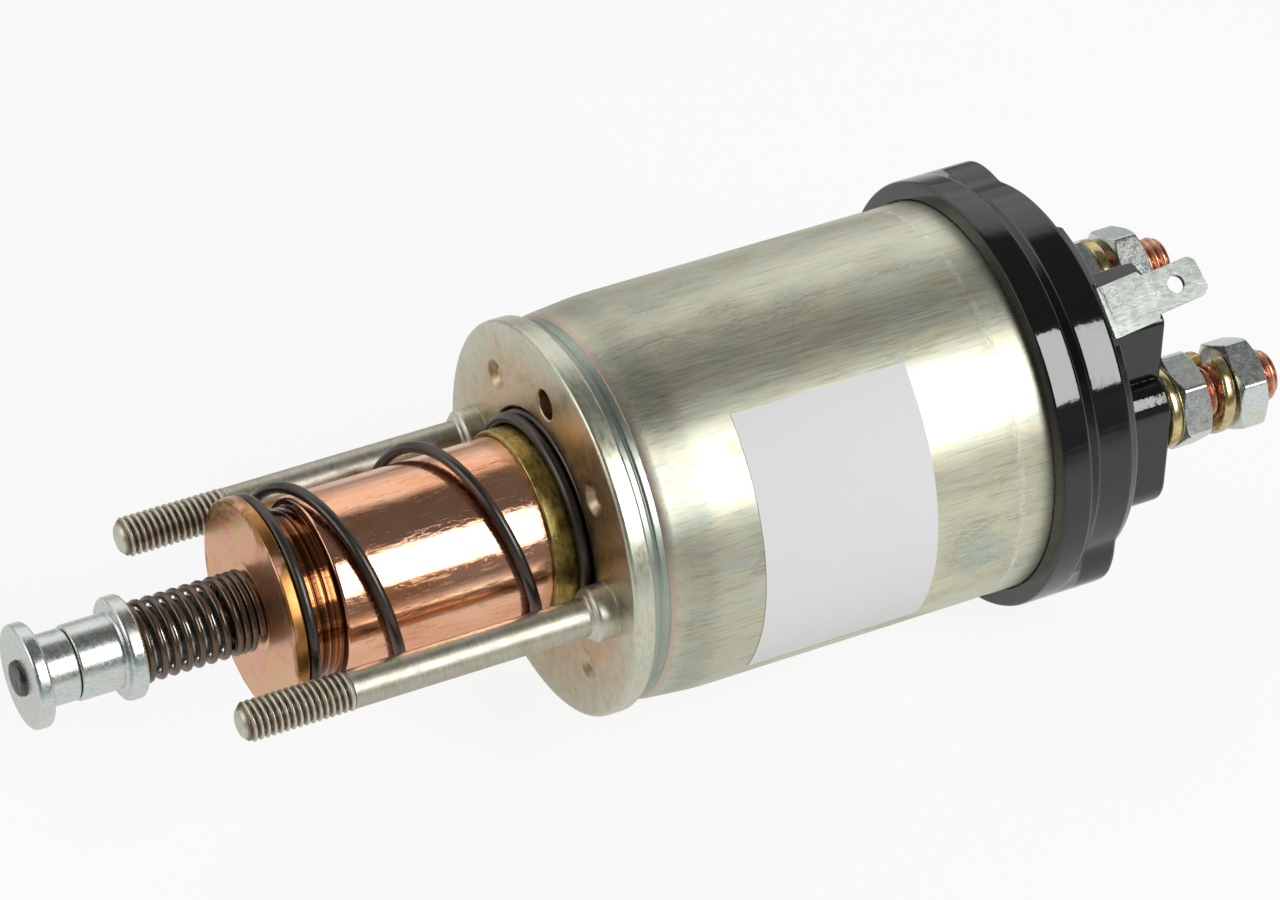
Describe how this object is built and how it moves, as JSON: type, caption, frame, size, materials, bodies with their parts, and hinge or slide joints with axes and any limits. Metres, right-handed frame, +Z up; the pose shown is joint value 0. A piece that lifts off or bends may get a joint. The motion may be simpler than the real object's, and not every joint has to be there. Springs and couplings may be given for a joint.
{
  "type": "starter solenoid",
  "caption": "Starter solenoid with a steel can, mounting flange and studs, sprung copper plunger with a fork head, and a black terminal cap with threaded studs and a blade terminal.",
  "frame": {"origin": "centre of the mounting flange's front face, on the plunger axis", "axes": "+X along the plunger axis towards the terminals, +Z up; the two mounting studs lie in the XY plane and the cap with its two terminal studs is turned 2.7 degrees about X"},
  "size_m": [0.197, 0.066, 0.066],
  "materials": {
    "can_zinc": "zinc plated with a pale yellow-green passivation, brushed",
    "flange_zinc": "zinc plated with a yellow and pink iridescent passivation",
    "stud_zinc": "zinc plated with a pale yellow passivation",
    "sleeve_brass": "dull drawn brass",
    "plunger_copper": "steel with bright copper plating",
    "plate_copper": "steel with dull, tarnished copper plating",
    "bright_zinc": "bright blue-white zinc plating",
    "yellow_zinc": "yellow zinc plating",
    "rod_steel": "dark steel",
    "black_spring": "blackened spring steel, semi-gloss",
    "dark_spring": "oiled spring steel",
    "soft_iron": "bare soft iron",
    "terminal_copper": "bare copper",
    "contact_copper": "bare copper",
    "blade_tin": "tinned, satin",
    "winding_copper": "enamelled copper wire",
    "cap_black": "glossy black moulding",
    "bobbin_plastic": "natural glass-filled plastic",
    "insulator": "brown pressed laminate",
    "wrap_paper": "impregnated paper",
    "gasket_rubber": "black rubber",
    "label_paper": "white paper label, bare"
  },
  "bodies": {
    "housing": {"mounting_flange": "flange_zinc", "mounting_studs": "stud_zinc", "housing_can": "can_zinc", "brass_sleeve": "sleeve_brass", "coil_bobbin": "bobbin_plastic", "pull_in_winding": "winding_copper", "hold_in_winding": "winding_copper", "winding_wrap": "wrap_paper", "fixed_core": "soft_iron", "yoke_plate": "soft_iron", "cap_gasket": "gasket_rubber", "terminal_cap": "cap_black", "cap_screws": "bright_zinc", "battery_terminal_stud": "terminal_copper", "motor_terminal_stud": "terminal_copper", "stud_seals": "gasket_rubber", "terminal_lock_washers": "yellow_zinc", "terminal_lock_nuts": "bright_zinc", "cable_split_washers": "yellow_zinc", "cable_nuts": "bright_zinc", "blade_terminal": "blade_tin", "blade_lead": "winding_copper", "label": "label_paper", "return_spring": "black_spring", "contact_return_spring": "dark_spring"},
    "plunger": {"plunger": "plunger_copper", "spring_plate": "plate_copper", "pull_rod": "rod_steel", "rod_head": "bright_zinc", "collar_spring": "dark_spring"},
    "collar": {"sliding_collar": "bright_zinc"},
    "contact_rod": {"contact_rod": "rod_steel", "rod_clip": "dark_spring", "contact_spring": "dark_spring"},
    "contact_bridge": {"contact_bridge": "contact_copper", "bridge_bush": "insulator", "bridge_washer": "insulator"}
  },
  "joints": [
    {"name": "plunger_slide", "type": "slide", "parent": "housing", "child": "plunger", "axis": [1, 0, 0], "range_m": [0, 0.0115], "stiffness_N_per_m": 1500, "springref_m": -0.02, "deforming": ["return_spring"]},
    {"name": "collar_slide", "type": "slide", "parent": "plunger", "child": "collar", "axis": [1, 0, 0], "range_m": [0, 0.005], "stiffness_N_per_m": 3000, "springref_m": -0.003, "deforming": ["collar_spring"]},
    {"name": "contact_rod_slide", "type": "slide", "parent": "housing", "child": "contact_rod", "axis": [1, 0, 0], "range_m": [0, 0.0031], "deforming": ["contact_return_spring"]},
    {"name": "contact_bridge_slide", "type": "slide", "parent": "contact_rod", "child": "contact_bridge", "axis": [1, 0, 0], "range_m": [-0.0008, 0], "deforming": ["contact_spring"]}
  ],
  "couplings": [
    {"joint": "contact_rod_slide", "follows": "plunger_slide", "ratio": 0.26087},
    {"joint": "contact_bridge_slide", "follows": "plunger_slide", "ratio": -0.065217}
  ]
}
